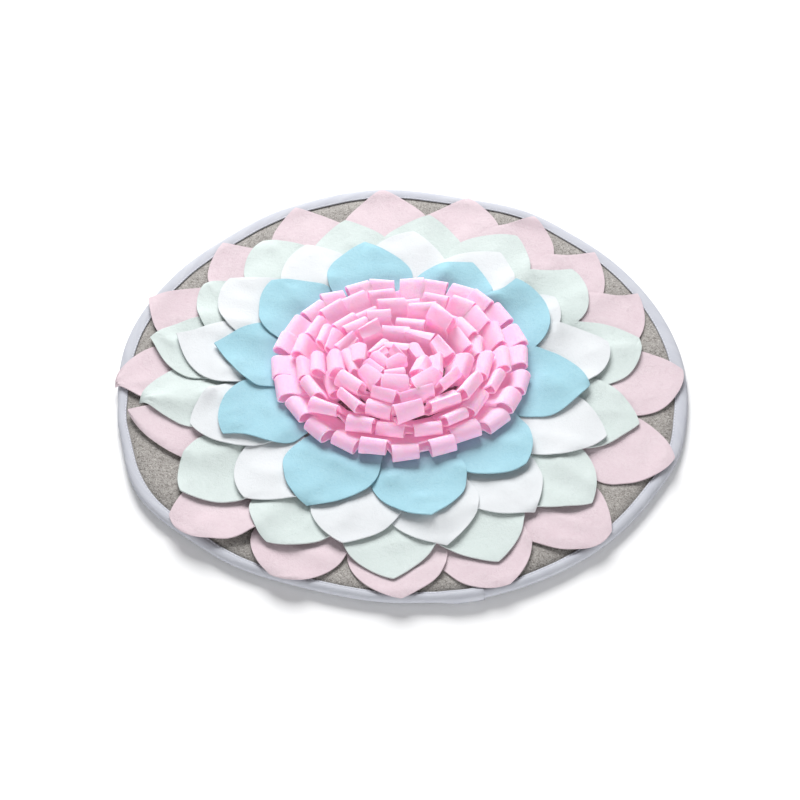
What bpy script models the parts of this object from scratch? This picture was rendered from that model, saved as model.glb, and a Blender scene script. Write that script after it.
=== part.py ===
"""Snuffle mat: a bound felt disc, four rings of fleece petals and a looped fleece centre.

Metres, +Z up. The origin is on the surface that the mat lies on, under the middle of the felt.
Each ring of petals overlaps like shingles: every petal lies over the next one round, and
each inner ring lies over the ring outside it. The petals are all cut alike.
"""

import math
from collections import namedtuple

import bmesh
import bpy
import numpy as np

MM = 0.001

# --- the round base and its binding ---
MAT_RADIUS = 249.5 * MM
# How far the outline wanders from a circle: waves round the mat, and each wave's two parts.
Wander = namedtuple("Wander", "waves cosine sine")
OUTLINE = (
    Wander(2, -0.2 * MM, 0.4 * MM),
    Wander(3, -0.6 * MM, -2.7 * MM),
    Wander(4, -0.8 * MM, 2.2 * MM),
    Wander(5, 1.6 * MM, 1.0 * MM),
)
# How far the rim stands off the surface, by direction.
RimLift = namedtuple("RimLift", "angle lift")
RIM_LIFTS = (
    RimLift(0, 0.8 * MM), RimLift(60, 0.3 * MM), RimLift(130, 0.3 * MM), RimLift(175, 2.0 * MM),
    RimLift(215, 4.5 * MM), RimLift(250, 3.2 * MM), RimLift(283, 3.6 * MM), RimLift(325, 2.2 * MM),
)
ROUND_STEPS = 40
FELT_THICKNESS = 4.0 * MM
FLAT_RADIUS = 200.0 * MM
TAPE_THICKNESS = 1.0 * MM
TAPE_COVER = 10.5 * MM
TAPE_BULGE = 1.6 * MM
# How far in its fold starts to round over, as a share of its thickness.
TAPE_ROUNDING = 0.4
# The tape starts on one of the felt's corners, and its other end is lapped over that start.
TAPE_START = 279.0
TAPE_END = 285.0
TAPE_STEP_UP = 278.0
TAPE_LAP_STEPS = 3
GAP = 0.32 * MM
RIM_BAND = TAPE_COVER + 2.0 * MM

# --- petals: one pattern, cut from fleece ---
FLEECE = 1.3 * MM
PETAL_LENGTH = 90.0 * MM
Cut = namedtuple("Cut", "from_tip half_width")
PETAL_PATTERN = (
    Cut(0.0, 2.5 * MM), Cut(4.0 * MM, 12.0 * MM), Cut(10.0 * MM, 21.0 * MM), Cut(18.0 * MM, 29.0 * MM),
    Cut(28.0 * MM, 35.5 * MM), Cut(42.0 * MM, 40.5 * MM), Cut(56.0 * MM, 40.5 * MM),
    Cut(PETAL_LENGTH, 26.0 * MM),
)
# The rows of points along a petal, as shares of its length from the tip to the sewn end.
PETAL_ROWS = (1.0, 0.62, 0.34, 0.13, 0.0)
PETAL_COLUMNS = 4
WIDEST = max(cut.half_width for cut in PETAL_PATTERN)

FLOWER_CENTRE = (-2.0 * MM, -5.0 * MM)

# One row a petal, going round from +X. tip and root are directions from the mat's middle,
# reach is the tip's distance from it. The lifts are how far that part stands off what it lies
# on: at the point, along the edge tucked under the petal before, and along the free edge.
# cup lifts both edges over the middle line. A petal turned under is folded lengthwise at that
# share of its free half, and the rest lies beneath.
Petal = namedtuple("Petal", "tip reach root point tucked free cup turned", defaults=(1,))
TURN_DEPTH = 2.4 * MM
# The lifts start this share of the length from the tip, and an edge's lift grows with this
# power of the distance from the middle line.
LIFT_SHARE = 0.62
EDGE_POWER = 1.5
Ring = namedtuple("Ring", "name seam width colour petals")
PINK = Ring("pink", 150 * MM, 1.0, (0.86, 0.62, 0.66), (
    Petal(23, 236, 16, 1, 0, 2, 1), Petal(39.5, 236, 36, 2, 0, 2, 0), Petal(58, 241, 53.5, 5, 0, 1, 0),
    Petal(74.5, 240, 71, 2, 0, 1, 1), Petal(94.5, 244, 94.5, 2, 0, 0, 0), Petal(116, 239, 116, 1, 0, 1, 1),
    Petal(136.5, 236, 139, 1, 0, 3, 0), Petal(159, 245, 159, 3, 2, 6, 1), Petal(184.5, 250, 181, 5, 2, 6, 1),
    Petal(193.5, 240, 201, 4, 0, 6, 0, 0.33), Petal(223.5, 254, 227.5, 2, 4, 9, 0),
    Petal(246.5, 248, 248, 2, 5, 2, 0),
    Petal(270, 248, 269, 1, 2, 2, 1), Petal(290, 249, 289, 1, 1, 2, 1), Petal(311.5, 250, 309.5, 1, 2, 3, 4),
    Petal(334.5, 250, 331, 2, 1, 3, 1), Petal(359.5, 247, 352, 4, 2, 4, 0),
))
MINT = Ring("mint", 126 * MM, 1.0, (0.70, 0.80, 0.74), (
    Petal(11, 217, 8, 3, 1, 3, 0), Petal(40, 208, 35, 2, 0, 2, 1), Petal(58.5, 207, 60, 1, 0, 1, 1),
    Petal(82.5, 206, 83, 1, 0, 1, 0), Petal(105, 204, 105, 1, 0, 1, 0), Petal(127, 217, 129, 2, 1, 3, 2),
    Petal(148, 214, 151, 2, 0, 3, 0), Petal(169.5, 229, 173, 3, 1, 3, 0), Petal(190, 229, 194, 4, 1, 4, 1),
    Petal(218, 229, 215.5, 3, 1, 4, 0), Petal(241, 222, 242, 3, 2, 3, 2), Petal(268.5, 229, 267, 1, 1, 2, 1),
    Petal(290, 225, 292, 1, 1, 3, 0), Petal(316, 216, 318, 2, 3, 2, 4), Petal(341.5, 211, 342, 2, 2, 3, 1),
))
WHITE = Ring("white", 102 * MM, 0.96, (0.84, 0.86, 0.89), (
    Petal(10, 187, 8, 4, 2, 4, 0), Petal(34, 170, 33, 1, 0, 1, 0), Petal(59, 181, 60, 1, 0, 1, 0),
    Petal(86.5, 185, 88, 2, 0, 1, 0), Petal(118.5, 189, 120, 1, 0, 2, 0), Petal(143.5, 198, 148, 2, 0, 3, 0),
    Petal(168.5, 205, 174, 4, 1, 3, 0), Petal(200, 191, 201, 3, 1, 3, 0), Petal(229, 195, 227, 2, 1, 3, 1),
    Petal(256.5, 200, 256, 2, 1, 2, 0), Petal(280.5, 199, 280, 2, 1, 2, 0), Petal(304, 193, 305.5, 1, 2, 3, 1),
    Petal(334.5, 189, 331, 3, 3, 4, 0),
))
BLUE = Ring("blue", 88 * MM, 1.0, (0.36, 0.66, 0.84), (
    Petal(46, 152, 31, 6, 4, 7, 0), Petal(64, 152, 65, 3, 3, 1, 0), Petal(101.5, 172, 103, 3, 0, 1, 0),
    Petal(137, 164, 138.5, 2, 1, 3, 2), Petal(170, 168, 174, 4, 1, 6, 0), Petal(208, 171, 206.5, 3, 2, 6, 2),
    Petal(243.5, 173, 241, 2, 2, 3, 3), Petal(278, 174, 280, 2, 1, 2, 2), Petal(313, 152, 315, 8, 8, 5, 2),
    Petal(352, 165, 352.5, 3, 3, 6, 0),
))
RINGS = (PINK, MINT, WHITE, BLUE)

# --- the looped centre: bands folded lengthwise, slit across the fold and sewn in rows ---
LOOP_FLEECE = 1.8 * MM
LOOP_SLIT = 1.2 * MM
LOOP_SEW_DEPTH = 4.0 * MM
# One row a turn of loops: where its middle is, how many loops, the radius of its seam, and
# for the folded end its distance past the seam, its height and its depth from layer to layer.
Turn = namedtuple("Turn", "band x y loops seam reach height depth")
TURNS = (
    Turn("loops_outer", *FLOWER_CENTRE, 25, 81 * MM, 30 * MM, 18.5 * MM, 7.5 * MM),
    Turn("loops_middle", *FLOWER_CENTRE, 20, 63 * MM, 29 * MM, 25.5 * MM, 7.5 * MM),
    Turn("loops_centre", -4 * MM, -6 * MM, 15, 46 * MM, 28 * MM, 31.0 * MM, 7.5 * MM),
    Turn("loops_centre", -7 * MM, -8 * MM, 10, 30 * MM, 27 * MM, 34.0 * MM, 7.5 * MM),
    Turn("loops_centre", -10 * MM, -10 * MM, 5, 14 * MM, 24 * MM, 37.0 * MM, 7.5 * MM),
)
# The loops of a band lean and stand unevenly, in this order, over and over.
Lean = namedtuple("Lean", "turn reach height")
LEANS = (
    Lean(0, 0.0, 0.0), Lean(4, 1.5 * MM, 1.0 * MM), Lean(-3, -1.5 * MM, 0.5 * MM), Lean(2, 0.5 * MM, 1.5 * MM),
    Lean(-5, 1.0 * MM, -0.5 * MM), Lean(1, -1.0 * MM, 0.0), Lean(5, 0.0, 1.0 * MM),
)
LOOP_ROOT_DEPTH = 3.6 * MM
LEG_SAMPLES = 9
LEG_START = 0.2
# A band of several turns keeps its distance for this much of a turn, then steps in.
STEP_IN = 0.8
# A loop lies on its band's earlier turns, but for the loops this near it along the band.
NEXT_LOOPS = 0.3

# --- the settling of each sheet on what lies under it ---
CELL = 1.5 * MM
MAP_HALF = 270 * MM
SHEET_CLEARANCE = 0.6 * MM
LOOP_CLEARANCE = 1.5 * MM
SETTLE_ROUNDS = 200
EASE_ROUNDS = 60
# A place is left as it is where the points that can move carry less than this much of it.
LEAST_PULL = 0.04
BRIDGE_ROUNDS = 12
BRIDGE_SAG = 0.5 * MM
TINY = 1e-6
LEAST_SHARE = 1e-3


def clear_scene():
    for old in list(bpy.data.objects):
        bpy.data.objects.remove(old, do_unlink=True)


def make_material(name, colour, roughness):
    material = bpy.data.materials.new(name)
    material.use_nodes = True
    shader = material.node_tree.nodes["Principled BSDF"]
    shader.inputs["Base Color"].default_value = (*colour, 1.0)
    shader.inputs["Roughness"].default_value = roughness
    shader.inputs["Metallic"].default_value = 0.0
    return material


def add_part(name, mesh_maker, material):
    """Make one named object in the mat's collection from a bmesh."""
    mesh = bpy.data.meshes.new(name)
    mesh_maker.to_mesh(mesh)
    mesh_maker.free()
    mesh.materials.append(material)
    part = bpy.data.objects.new(name, mesh)
    collection.objects.link(part)
    return part


def thicken(part, thickness, offset):
    wall = part.modifiers.new("Cloth thickness", "SOLIDIFY")
    wall.thickness = thickness
    wall.offset = offset
    part.data.shade_smooth()
    part.data.set_sharp_from_angle(angle=math.radians(40))


def periodic(rows, angle):
    """Blend smoothly between (angle, value) rows that go once round the mat."""
    angles = [row[0] for row in rows]
    values = [row[1] for row in rows]
    first = [angles[-1] - 360, *angles, angles[0] + 360]
    level = [values[-1], *values, values[0]]
    turn = angle % 360
    for a, b, low, high in zip(first, first[1:], level, level[1:]):
        if a <= turn <= b:
            part = (turn - a) / (b - a)
            return low + (high - low) * (1 - math.cos(math.pi * part)) / 2
    return level[0]


def rim_radius(angle):
    turn = math.radians(angle)
    waves = (w.cosine * math.cos(w.waves * turn) + w.sine * math.sin(w.waves * turn) for w in OUTLINE)
    return MAT_RADIUS + sum(waves)


def rim_foot(angle):
    """The height of the felt's under side at its edge, where it stands on the binding."""
    return TAPE_THICKNESS + GAP + periodic(RIM_LIFTS, angle)


def polar(radius, angle, height=0.0):
    turn = math.radians(angle)
    return (radius * math.cos(turn), radius * math.sin(turn), height)


# ---------------------------------------------------------------- base


def build_felt(material):
    """The felt disc: flat in the middle, its edge standing on the binding's under side."""
    sheet = bmesh.new()
    bmesh.ops.create_circle(sheet, cap_ends=True, segments=ROUND_STEPS, radius=1.0)
    for share in (0.5, 1.0):
        border = [edge for edge in sheet.edges if edge.is_boundary]
        grown = bmesh.ops.extrude_edge_only(sheet, edges=border)["geom"]
        for vert in (item for item in grown if isinstance(item, bmesh.types.BMVert)):
            vert.co.z = share
    for vert in sheet.verts:
        angle = math.degrees(math.atan2(vert.co.y, vert.co.x))
        edge = rim_radius(angle) - TAPE_BULGE
        if vert.co.z == 0:
            vert.co = polar(FLAT_RADIUS, angle)
        elif vert.co.z == 0.5:
            vert.co = polar(edge - RIM_BAND, angle, rim_foot(angle))
        else:
            vert.co = polar(edge, angle, rim_foot(angle))
    bmesh.ops.recalc_face_normals(sheet, faces=sheet.faces)
    if max(sheet.faces, key=lambda face: face.calc_area()).normal.z < 0:
        bmesh.ops.reverse_faces(sheet, faces=sheet.faces)
    felt = add_part("base_mat", sheet, material)
    thicken(felt, FELT_THICKNESS, 1.0)
    return felt


def tape_section(angle, spread):
    """The folded tape's closed outline at one place: inward from the felt's edge, and up."""
    outer = TAPE_THICKNESS + GAP + spread
    inner = GAP + spread
    corner = inner + TAPE_THICKNESS * TAPE_ROUNDING
    top = FELT_THICKNESS
    points = (
        (TAPE_COVER, -outer), (-corner, -outer), (-TAPE_BULGE - spread, top / 2),
        (-corner, top + outer), (TAPE_COVER, top + outer),
        (TAPE_COVER, top + inner), (-inner, top + inner), (-inner, -inner), (TAPE_COVER, -inner),
    )
    edge = rim_radius(angle) - TAPE_BULGE
    foot = rim_foot(angle)
    return [polar(edge - inward, angle, foot + up) for inward, up in points]


def build_binding(material):
    """One length of tape folded over the edge all round, its last end lapped over its first."""
    lap = TAPE_THICKNESS + GAP
    stops = [(TAPE_START + 360 * step / ROUND_STEPS, 0.0) for step in range(ROUND_STEPS)]
    for step in range(TAPE_LAP_STEPS + 1):
        stops.append((TAPE_STEP_UP + (TAPE_END - TAPE_STEP_UP) * step / TAPE_LAP_STEPS, lap))
    tape = bmesh.new()
    rings = [[tape.verts.new(point) for point in tape_section(*stop)] for stop in stops]
    for ring, after in zip(rings, rings[1:]):
        for a, b, c, d in zip(ring, ring[1:] + ring[:1], after[1:] + after[:1], after):
            tape.faces.new((a, b, c, d))
    tape.faces.new(rings[0][::-1])
    tape.faces.new(rings[-1])
    bmesh.ops.recalc_face_normals(tape, faces=tape.faces)
    return add_part("binding", tape, material)


# ---------------------------------------------------------------- settling


MAP_SIZE = 2 * round(MAP_HALF / CELL) + 1


def empty_map():
    return np.full((MAP_SIZE, MAP_SIZE), -1.0)


def sheet_cells(points, triangles):
    """The map cells under a sheet, and for each the triangle's corners and their shares."""
    cells, corners, shares = [], [], []
    place = (points[:, :2] + MAP_HALF) / CELL
    for triangle in triangles:
        a, b, c = place[list(triangle)]
        low = np.floor(np.min((a, b, c), axis=0)).astype(int)
        high = np.ceil(np.max((a, b, c), axis=0)).astype(int)
        column, row = np.meshgrid(np.arange(low[0], high[0] + 1), np.arange(low[1], high[1] + 1))
        area = (b[0] - a[0]) * (c[1] - a[1]) - (b[1] - a[1]) * (c[0] - a[0])
        if abs(area) < TINY:
            continue
        share_b = ((column - a[0]) * (c[1] - a[1]) - (row - a[1]) * (c[0] - a[0])) / area
        share_c = ((b[0] - a[0]) * (row - a[1]) - (b[1] - a[1]) * (column - a[0])) / area
        share = np.stack([1 - share_b - share_c, share_b, share_c], axis=-1)
        inside = share.min(axis=-1) > -TINY
        cells.append((row[inside] * MAP_SIZE + column[inside]).ravel())
        shares.append(share[inside])
        corners.append(np.tile(triangle, (inside.sum(), 1)))
    return np.concatenate(cells), np.concatenate(corners), np.concatenate(shares)


def widened(heights):
    """Each cell takes the highest of itself and its eight neighbours."""
    padded = np.pad(heights, 1, constant_values=-1.0)
    shifts = [padded[i:i + MAP_SIZE, j:j + MAP_SIZE] for i in range(3) for j in range(3)]
    return np.max(shifts, axis=0)


def top_map(points, fitted, thickness):
    """The height map of a sheet's upper side."""
    cells, corners, shares = fitted
    heights = empty_map().ravel()
    level = (points[corners, 2] * shares).sum(axis=1) + thickness / 2
    np.maximum.at(heights, cells, level)
    return widened(heights.reshape(MAP_SIZE, MAP_SIZE))


def raise_clear(lowest, fitted, below, movable):
    """Raise a sheet's movable points just enough for every cell of it to clear a height map."""
    need = (below + FLEECE / 2 + SHEET_CLEARANCE).ravel()
    cells, corners, shares = fitted
    pull = shares * movable[corners]
    scale = (pull ** 2).sum(axis=1)
    held = scale > LEAST_PULL
    cells, corners, shares, pull, scale = (part[held] for part in (cells, corners, shares, pull, scale))
    if not len(cells):
        return lowest
    height = lowest.copy()
    for _ in range(SETTLE_ROUNDS):
        short = np.maximum(need[cells] - (height[corners] * shares).sum(axis=1), 0)
        if short.max() < TINY:
            break
        lift = np.zeros_like(height)
        np.maximum.at(lift, corners, (short / scale)[:, None] * pull)
        height += lift
    for _ in range(EASE_ROUNDS):
        slack = (height[corners] * shares).sum(axis=1) - need[cells]
        drop = height - lowest
        np.minimum.at(drop, corners, np.maximum(slack, 0)[:, None] / np.maximum(shares, LEAST_SHARE))
        height -= drop / 3
    return height


def settle(points, fitted, below, grid_shape):
    """Lay a sheet on a height map, bridging the hollows in it as fleece does.

    Its first row is sewn down, so only the others are raised.
    """
    column, row = np.round((points[:, :2].T + MAP_HALF) / CELL).astype(int)
    height = below[row, column] + FLEECE / 2 + SHEET_CLEARANCE
    sewn = height[:grid_shape[1]].copy()
    loose = np.ones(grid_shape)
    loose[0] = 0
    height = raise_clear(height, fitted, below, loose.ravel())
    for _ in range(BRIDGE_ROUNDS):
        net = np.pad(height.reshape(grid_shape), 1, mode="edge")
        mean = (net[2:, 1:-1] + net[:-2, 1:-1] + net[1:-1, 2:] + net[1:-1, :-2]) / 4
        height = np.maximum(net[1:-1, 1:-1], mean - BRIDGE_SAG)
        height[0] = sewn
    return height.ravel()


# ---------------------------------------------------------------- petals


def pattern_width(from_tip):
    places, widths = zip(*PETAL_PATTERN)
    return float(np.interp(from_tip, places, widths))


def petal_plan(petal, ring):
    """The petal's points in plan, row by row from its sewn end, and each point's own place.

    The middle line leaves the seam straight outward and bends over to the tip. A point's own
    place is its distance from the tip, and from the middle line as a share of the widest half.
    """
    tip = np.array(polar(petal.reach * MM, petal.tip)[:2])
    seam = max(petal.reach * MM - PETAL_LENGTH, ring.seam)
    outward = np.array(polar(1.0, petal.root)[:2])
    root = np.array(FLOWER_CENTRE) + seam * outward
    length = np.linalg.norm(tip - root)
    elbow = root + outward * length / 2
    points, own = [], []
    for share in PETAL_ROWS:
        middle = share ** 2 * root + 2 * share * (1 - share) * elbow + (1 - share) ** 2 * tip
        along = share * (elbow - root) + (1 - share) * (tip - elbow)
        across = np.array((-along[1], along[0])) / np.linalg.norm(along)
        half = pattern_width(share * length) * ring.width
        for side in np.linspace(-1, petal.turned, PETAL_COLUMNS + 1):
            points.append((*(middle + across * side * half), 0.0))
            own.append((share * length, side * half / WIDEST))
    return np.array(points), np.array(own)


def petal_lift(petal, own):
    """How far each point of the petal stands off what it lies on."""
    outward = np.clip(1 - own[:, 0] / (LIFT_SHARE * PETAL_LENGTH), 0, 1)
    side = own[:, 1]
    lift = petal.point * outward ** 2
    lift += petal.tucked * np.clip(-side, 0, 1) ** EDGE_POWER * outward
    lift += petal.free * np.clip(side, 0, 1) ** EDGE_POWER * outward
    lift += petal.cup * side ** 2 * outward
    return lift * MM


def turn_under(net, petal):
    """Fold a petal along its last column: the rest runs back below the columns before it."""
    columns = round((1 - petal.turned) * PETAL_COLUMNS / (1 + petal.turned))
    under = net[:, -2:-2 - columns:-1] - (0, 0, TURN_DEPTH)
    net[:, -1, 2] -= TURN_DEPTH / 2
    return np.concatenate([net, under], axis=1)


def grid_triangles(rows, columns):
    triangles = []
    for row in range(rows - 1):
        for column in range(columns - 1):
            a = row * columns + column
            triangles.append((a, a + 1, a + columns + 1))
            triangles.append((a, a + columns + 1, a + columns))
    return triangles


def build_petal(name, net, material):
    """One petal of fleece through a net of points, row by row from its sewn end.

    Each face is split along the diagonal that grid_triangles takes.
    """
    rows, columns = net.shape[:2]
    sheet = bmesh.new()
    bmesh.ops.create_grid(sheet, x_segments=columns - 1, y_segments=rows - 1, size=1)
    for vert, point in zip(sheet.verts, net.reshape(-1, 3)):
        vert.co = point
    sheet.verts.ensure_lookup_table()
    for number, face in enumerate(list(sheet.faces)):
        corner = number + number // (columns - 1)
        bmesh.utils.face_split(face, sheet.verts[corner], sheet.verts[corner + columns + 1])
    bmesh.ops.recalc_face_normals(sheet, faces=sheet.faces)
    thicken(add_part(name, sheet, material), FLEECE, 0.0)


def build_ring(ring, below, material):
    """Settle one ring of petals on a height map, and return the map with the ring added.

    Each petal is laid on what the ring lies on, and then its free half is raised over the
    tucked half of the next petal.
    """
    shape = (len(PETAL_ROWS), PETAL_COLUMNS + 1)
    triangles = grid_triangles(*shape)
    plans = [petal_plan(petal, ring) for petal in ring.petals]
    fits = [sheet_cells(points, triangles) for points, _ in plans]
    for petal, (points, own), fit in zip(ring.petals, plans, fits):
        points[:, 2] = settle(points, fit, below, shape) + petal_lift(petal, own)
        points[:, 2] += TURN_DEPTH if petal.turned < 1 else 0.0
    laid = [top_map(points, fit, FLEECE) for (points, _), fit in zip(plans, fits)]
    for (points, own), fit, neighbour in zip(plans, fits, laid[1:] + laid[:1]):
        points[:, 2] = raise_clear(points[:, 2], fit, neighbour, (own[:, 1] > 0).astype(float))
    for number, (petal, (points, _)) in enumerate(zip(ring.petals, plans), start=1):
        net = points.reshape(*shape, 3)
        if petal.turned < 1:
            net = turn_under(net, petal)
        build_petal(f"petal_{ring.name}_{number:02d}", net, material)
    for (points, _), fit in zip(plans, fits):
        below = np.maximum(below, top_map(points, fit, FLEECE))
    return below


def felt_map():
    """The height map of the bound felt, with nothing on it yet."""
    heights = np.full((MAP_SIZE, MAP_SIZE), 0.0)
    for row in range(MAP_SIZE):
        for column in range(MAP_SIZE):
            x = column * CELL - MAP_HALF
            y = row * CELL - MAP_HALF
            radius = math.hypot(x, y)
            angle = math.degrees(math.atan2(y, x))
            rim = rim_radius(angle)
            rise = np.interp(radius, (FLAT_RADIUS, rim - TAPE_BULGE - RIM_BAND), (0, rim_foot(angle)))
            tape = TAPE_THICKNESS + GAP if radius > rim - TAPE_COVER - TAPE_BULGE - CELL else 0.0
            heights[row, column] = FELT_THICKNESS + rise + tape if radius < rim + CELL else 0.0
    return heights


# ---------------------------------------------------------------- loops


def loop_path(turn, lean):
    """A loop from its outer sewn edge, round the fold, to its inner one: outward, up."""
    floor = FELT_THICKNESS + LOOP_FLEECE / 2 + GAP
    reach = turn.reach + lean.reach
    height = turn.height + lean.height
    half = turn.depth / 2
    root = LOOP_ROOT_DEPTH / 2
    return (
        (root, floor), (root, floor + LOOP_SEW_DEPTH),
        (reach, height - half), (reach, height + half),
        (-root, floor + LOOP_SEW_DEPTH), (-root, floor),
    )


def loop_points(turn, share, lean, below):
    """Both edges of one loop, from its outer sewn edge to its inner one, clear of the map."""
    angle = 360 * share
    root = np.array((turn.x, turn.y)) + np.array(polar(turn.seam, angle)[:2])
    sewn_out = np.array(polar(1.0, angle)[:2])
    outward = np.array(polar(1.0, angle + lean.turn)[:2])
    half_width = math.pi * turn.seam / turn.loops - LOOP_SLIT / 2
    path = loop_path(turn, lean)

    def place(out, side, free):
        direction = outward if free else sewn_out
        across = np.array((-direction[1], direction[0]))
        return root + direction * out + across * side * half_width

    short = 0.0
    for share_out in np.linspace(LEG_START, 1.0, LEG_SAMPLES):
        out, up = (1 - share_out) * np.array(path[1]) + share_out * np.array(path[2])
        for side in np.linspace(-1, 1, LEG_SAMPLES):
            column, row = np.round((place(out, side, True) + MAP_HALF) / CELL).astype(int)
            need = below[row, column] + LOOP_FLEECE / 2 + LOOP_CLEARANCE
            short = max(short, (need - up) / share_out)
    edges = []
    for side in (-1, 1):
        edge = []
        for step, (out, up) in enumerate(path):
            free = 1 < step < len(path) - 2
            edge.append((*place(out, side, free), up + (short if free else 0.0)))
        edges.append(edge)
    return edges


def blend_turn(turns, place):
    """The band's shape at a place along it, counted in turns: it steps in late in each turn."""
    first = int(place)
    last = min(first + 1, len(turns) - 1)
    share = max(0.0, (place - first - STEP_IN) / (1 - STEP_IN))
    mixed = [a if isinstance(a, str) else a + (b - a) * share for a, b in zip(turns[first], turns[last])]
    return Turn(*mixed)


def band_faces(columns, rows):
    """Each face of a slit band as its lowest corner: none between two loops past the seams."""
    for row in range(rows - 1):
        for column in range(columns - 1):
            slit = column % 2 and 0 < row < rows - 2
            yield column, row, bool(slit)


def band_map(columns, below):
    """The height map with these loops added to it."""
    count = len(columns)
    rows = len(columns[0])
    points = np.array([edge[row] for row in range(rows) for edge in columns])
    triangles = []
    for column, row, slit in band_faces(count, rows):
        if not slit:
            a = row * count + column
            triangles.append((a, a + 1, a + count + 1))
            triangles.append((a, a + count + 1, a + count))
    return np.maximum(below, top_map(points, sheet_cells(points, triangles), LOOP_FLEECE))


def build_band(name, turns, below, material):
    """One slit band: a flat turn of loops, or several turns winding in to the middle."""
    columns, places = [], []
    painted = 0
    place = 0.5 / turns[0].loops
    while place < len(turns):
        here = blend_turn(turns, place)
        while places[painted:] and places[painted] < min(int(place), place - NEXT_LOOPS):
            below = band_map(columns[2 * painted:2 * painted + 2], below)
            painted += 1
        columns.extend(loop_points(here, place, LEANS[len(places) % len(LEANS)], below))
        places.append(place)
        place += 1 / here.loops
    for index in range(painted, len(places)):
        below = band_map(columns[2 * index:2 * index + 2], below)
    rows = len(columns[0])
    band = bmesh.new()
    bmesh.ops.create_grid(band, x_segments=len(columns) - 1, y_segments=rows - 1, size=1)
    band.verts.ensure_lookup_table()
    band.faces.ensure_lookup_table()
    slits = [face for face, (_, _, slit) in zip(band.faces, band_faces(len(columns), rows)) if slit]
    for column, edge in enumerate(columns):
        for row, point in enumerate(edge):
            band.verts[row * len(columns) + column].co = point
    bmesh.ops.delete(band, geom=slits, context="FACES")
    bmesh.ops.recalc_face_normals(band, faces=band.faces)
    thicken(add_part(name, band, material), LOOP_FLEECE, 0.0)
    return below


def main():
    clear_scene()
    build_felt(make_material("felt", (0.33, 0.30, 0.27), 0.95))
    build_binding(make_material("binding_tape", (0.60, 0.61, 0.70), 0.8))
    below = felt_map()
    for ring in RINGS:
        below = build_ring(ring, below, make_material(f"{ring.name}_fleece", ring.colour, 0.95))
    loops = make_material("loop_fleece", (0.93, 0.40, 0.62), 0.95)
    for name in dict.fromkeys(turn.band for turn in TURNS):
        below = build_band(name, [turn for turn in TURNS if turn.band == name], below, loops)


collection = bpy.data.collections.new("snuffle_mat")
bpy.context.scene.collection.children.link(collection)
main()
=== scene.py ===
"""The finish of a round snuffle mat: felt, bound edge, fleece petals and a looped fleece centre."""

import math
import random
from collections import namedtuple

import bmesh
import bpy
import numpy as np
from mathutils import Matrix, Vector, noise


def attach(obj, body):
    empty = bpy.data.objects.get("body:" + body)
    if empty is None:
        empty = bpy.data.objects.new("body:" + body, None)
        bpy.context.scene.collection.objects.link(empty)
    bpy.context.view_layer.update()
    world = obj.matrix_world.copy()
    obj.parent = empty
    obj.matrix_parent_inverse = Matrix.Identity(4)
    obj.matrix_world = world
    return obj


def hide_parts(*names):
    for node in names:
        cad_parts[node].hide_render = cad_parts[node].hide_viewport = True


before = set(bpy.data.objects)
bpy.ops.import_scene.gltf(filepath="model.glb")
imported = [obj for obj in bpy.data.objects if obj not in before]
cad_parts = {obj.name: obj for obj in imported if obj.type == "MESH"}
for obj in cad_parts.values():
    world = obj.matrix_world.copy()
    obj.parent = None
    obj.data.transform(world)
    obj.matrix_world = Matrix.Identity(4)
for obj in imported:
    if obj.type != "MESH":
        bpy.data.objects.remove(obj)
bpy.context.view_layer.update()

MM = 0.001


def table(kind, *rows):
    """Rows of values with the column names of one kind of namedtuple."""
    return tuple(kind(*row) for row in rows)


# --- camera ---
CAMERA_PLACE = (0.0, -0.9798, 1.0187)
CAMERA_AIM = (-0.0012, -0.0259, 0.0)
CAMERA_LENS = 72.0
CAMERA_SENSOR = 36.0
CAMERA_NEAR = 0.05

# --- the round base and its binding ---
MAT_RADIUS = 250.0 * MM
# Amounts in mm by direction in degrees, blended in between.
At = namedtuple("At", "angle amount")
# How far the outline lies outside its circle, or inside it if less than nothing.
RIM_PLACES = table(
    At,
    (0, 0.0), (30, -1.5), (47, -1.5), (61, 2.0), (76, -1.5), (97, 5.0), (116, 2.0), (135, -3.0),
    (150, -2.0), (170, -0.5), (187, -2.5), (196, -0.5), (214, 7.5), (232, 0.5), (254, -5.5), (271, -3.0),
    (285, 0.5), (305, 0.5), (325, -0.5), (337, 2.0), (350, 0.5),
)
# How far the rim stands off the floor, and how far the tape reaches in over the felt.
RIM_LIFTS = table(
    At,
    (0, 0.8), (60, 0.3), (130, 0.3), (175, 2.0), (215, 4.5), (250, 3.2), (283, 3.6), (325, 2.2),
)
TAPE_COVERS = table(
    At,
    (0, 10.5), (60, 10.5), (100, 12.5), (145, 11.5), (172, 9.5), (195, 6.0), (213, 8.0), (250, 6.0),
    (285, 6.0), (325, 8.0),
)
FELT_THICKNESS = 4.0 * MM
FLAT_RADIUS = 200.0 * MM
# The radii of the felt's rings of points in mm; one more ring lies at its edge.
FELT_RINGS = (40, 80, 120, 150, 175, 190, 200, 210, 220, 229)
FELT_STEPS = 120
# The felt is fully lifted this far in from its edge.
RIM_BAND = 14.5 * MM
GAP = 0.3 * MM
TAPE_THICKNESS = 1.0 * MM
TAPE_BULGE = 1.6 * MM
TAPE_START = 279.0
TAPE_END = 285.0
TAPE_STEPS = 360
# The tape's last end rises onto its first over this many degrees.
TAPE_STEP_UP = 2.0
TAPE_CROWN = 0.4 * MM
TAPE_SWELL = 0.35 * MM
TAPE_WANDER = 0.35 * MM
STITCH_INSET = 1.1 * MM
STITCH_PITCH = 3.6 * MM
# Half the length of a stitch as a share of the pitch, and half its width and height.
STITCH_SHARE = 0.40
STITCH_HALF_WIDTH = 0.32 * MM
STITCH_HALF_HEIGHT = 0.30 * MM
# How far the stitches sink into the tape's upper and under side.
STITCH_SINK = 0.35 * MM
STITCH_UNDER_SINK = 0.3 * MM

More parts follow.
